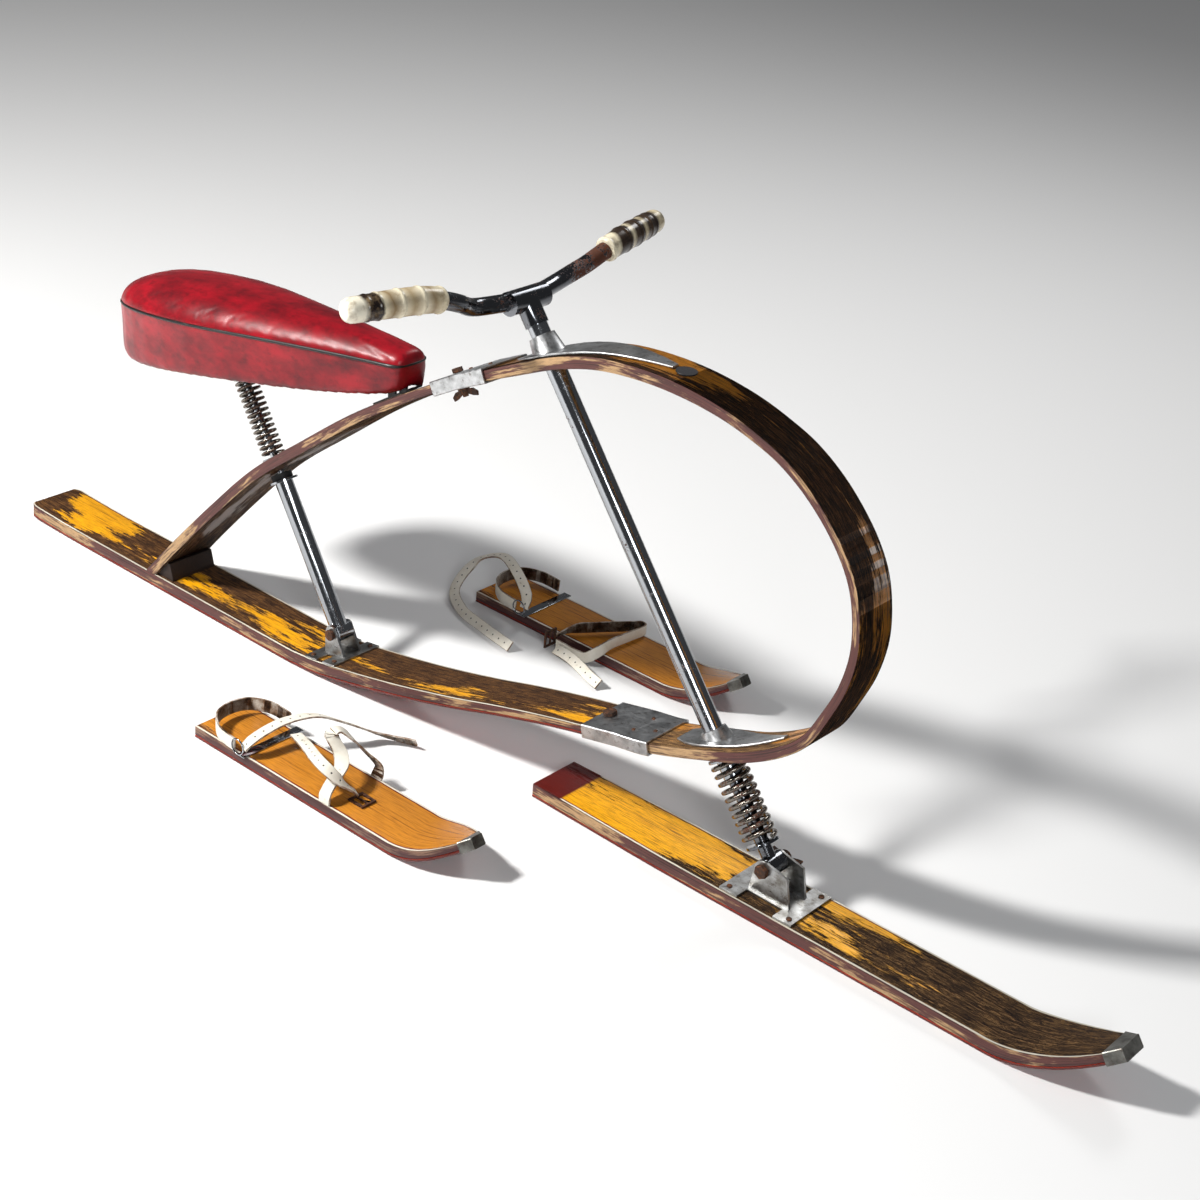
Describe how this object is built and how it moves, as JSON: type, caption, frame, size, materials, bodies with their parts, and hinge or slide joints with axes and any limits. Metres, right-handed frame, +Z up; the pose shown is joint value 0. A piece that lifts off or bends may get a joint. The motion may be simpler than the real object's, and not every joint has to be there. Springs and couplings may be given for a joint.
{
  "type": "ski bike",
  "caption": "Vintage bent-wood ski bike: a laminated loop frame on a long rear ski, sprung saddle, steered sprung front ski, and a pair of strap-on foot skis.",
  "frame": {"origin": "on the underside of the rear ski's sole, on the centre plane, midway along its flat stretch", "axes": "+X towards the front ski's tip, +Y to the rider's left, +Z up"},
  "size_m": [1.9014, 0.659, 0.6942],
  "materials": {
    "wood": "worn amber varnish over laminated wood, dark weathered patches",
    "foot_wood": "orange-brown varnish",
    "dark_wood": "dark stained",
    "sole": "red-orange running surface, gloss",
    "chrome": "polished, lightly pitted",
    "aluminium": "worn satin",
    "rusty_steel": "rusty and dark",
    "black_metal": "worn black",
    "black_rubber": "matt",
    "piping": "black",
    "red_leather": "semi-gloss, mottled",
    "strap_leather": "worn off-white",
    "grip": "cream marbled with brown"
  },
  "bodies": {
    "frame": {"seat_tube": "chrome", "seat_tube_bush": "black_rubber", "rear_spring_washer": "chrome", "rear_spring": "chrome", "rear_ski": "wood", "rear_ski_sole": "sole", "rear_stay": "wood", "stay_foot_block": "dark_wood", "loop_frame": "wood", "lower_sleeve": "aluminium", "lower_sleeve_bolt": "rusty_steel", "lower_sleeve_wing_nut": "rusty_steel", "upper_sleeve": "aluminium", "upper_sleeve_bolt": "rusty_steel", "upper_sleeve_wing_nut": "rusty_steel", "upper_lug": "aluminium", "lower_lug": "aluminium", "badge": "black_metal", "rear_bracket": "aluminium", "rear_bracket_pin": "rusty_steel", "seat_hinge_bracket": "black_metal", "seat_hinge_pin": "rusty_steel"},
    "seat": {"seat_cushion": "red_leather", "seat_piping": "piping", "seat_base": "dark_wood", "seat_hinge_leaf": "black_metal", "seat_clip": "black_metal"},
    "rod": {"seat_rod": "chrome"},
    "steering": {"steering_tube": "chrome", "steering_washer": "chrome", "handlebar_stem": "chrome", "handlebar": "chrome", "grip_right": "grip", "grip_left": "grip"},
    "fork": {"fork_rod": "chrome", "front_spring": "chrome"},
    "front_ski_set": {"front_ski": "wood", "front_ski_sole": "sole", "front_tip_cap": "aluminium", "front_bracket": "aluminium", "front_bracket_bolt": "rusty_steel", "front_wing_nut": "rusty_steel"},
    "right_foot": {"right_foot_ski": "foot_wood", "right_foot_ski_sole": "sole", "right_foot_tip_cap": "aluminium", "right_heel_strap": "strap_leather", "right_instep_strap": "strap_leather", "right_toe_strap": "strap_leather", "right_toe_tongue": "strap_leather", "right_heel_ring": "chrome", "right_toe_buckle": "rusty_steel"},
    "left_foot": {"left_foot_ski": "foot_wood", "left_foot_ski_sole": "sole", "left_foot_tip_cap": "aluminium", "left_heel_strap": "strap_leather", "left_instep_strap": "strap_leather", "left_toe_strap": "strap_leather", "left_toe_tongue": "strap_leather", "left_heel_ring": "chrome", "left_toe_buckle": "rusty_steel"}
  },
  "joints": [
    {"name": "steering_turn", "type": "hinge", "parent": "frame", "child": "steering", "pos_m": [1.109, 0, 0.0577], "axis": [-0.6185, 0, 0.7858], "range_deg": [-20, 20]},
    {"name": "fork_slide", "type": "slide", "parent": "steering", "child": "fork", "axis": [-0.6185, 0, 0.7858], "range_m": [0, 0.03], "stiffness_N_per_m": 15000, "springref_m": -0.01, "deforming": ["front_spring"]},
    {"name": "front_ski_pitch", "type": "hinge", "parent": "fork", "child": "front_ski_set", "pos_m": [1.109, 0, 0.0577], "axis": [0, 1, 0], "range_deg": [-15, 8]},
    {"name": "seat_tilt", "type": "hinge", "parent": "frame", "child": "seat", "pos_m": [0.44396, 0, 0.45732], "axis": [0, -1, 0], "range_deg": [0, 4], "stiffness_Nm_per_rad": 2500, "springref_deg": -0.57, "deforming": ["rear_spring"]},
    {"name": "seat_rod_slide", "type": "slide", "parent": "frame", "child": "rod", "axis": [0.5475, 0, -0.8368], "range_m": [0, 0.028]},
    {"name": "right_foot_lift", "type": "slide", "parent": "frame", "child": "right_foot", "axis": [0, 0, 1], "range_m": [0, 0.3]},
    {"name": "left_foot_lift", "type": "slide", "parent": "frame", "child": "left_foot", "axis": [0, 0, 1], "range_m": [0, 0.3]}
  ],
  "couplings": [
    {"joint": "seat_rod_slide", "follows": "seat_tilt", "m_per_rad": 0.3995}
  ]
}
